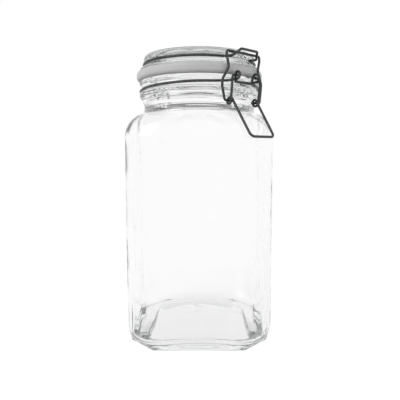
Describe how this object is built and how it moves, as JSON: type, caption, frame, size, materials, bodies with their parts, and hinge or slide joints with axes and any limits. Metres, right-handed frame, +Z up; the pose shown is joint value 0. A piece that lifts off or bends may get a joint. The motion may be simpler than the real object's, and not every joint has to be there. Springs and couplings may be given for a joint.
{
  "type": "square clip-top glass jar",
  "caption": "Square clear glass storage jar with a round glass lid, a thick silicone seal and a hinged wire clasp that clips the lid shut.",
  "frame": {"origin": "middle of the foot, on the surface the jar stands on", "axes": "+Z up through the middle of the neck and lid, -Y towards the front face of the square body, clasp 41 degrees from the front towards +X"},
  "size_m": [0.11, 0.1135, 0.215],
  "materials": {
    "clear_glass": "clear, smooth, pressed",
    "silicone": "translucent grey-white silicone, satin",
    "clasp_wire": "dark drawn steel wire, satin"
  },
  "bodies": {
    "jar": {"jar_glass": "clear_glass", "neck_wire": "clasp_wire"},
    "lid": {"lid_glass": "clear_glass", "seal": "silicone", "lid_wire": "clasp_wire"},
    "lever": {"lever_wire": "clasp_wire"},
    "link": {"link_wire": "clasp_wire"}
  },
  "joints": [
    {"name": "lid_hinge", "type": "hinge", "parent": "jar", "child": "lid", "pos_m": [-0.03359, 0.03864, 0.1873], "axis": [-0.7547, -0.6561, 0], "range_deg": [0, 105]},
    {"name": "lever_pivot", "type": "hinge", "parent": "jar", "child": "lever", "pos_m": [0.03398, -0.03909, 0.1943], "axis": [-0.7547, -0.6561, 0], "range_deg": [0, 110]},
    {"name": "link_pivot", "type": "hinge", "parent": "lever", "child": "link", "pos_m": [0.03136, -0.03608, 0.1772], "axis": [-0.7547, -0.6561, 0], "range_deg": [-59.6, 0]}
  ],
  "couplings": [
    {"joint": "link_pivot", "follows": "lever_pivot", "ratio": -0.54}
  ]
}
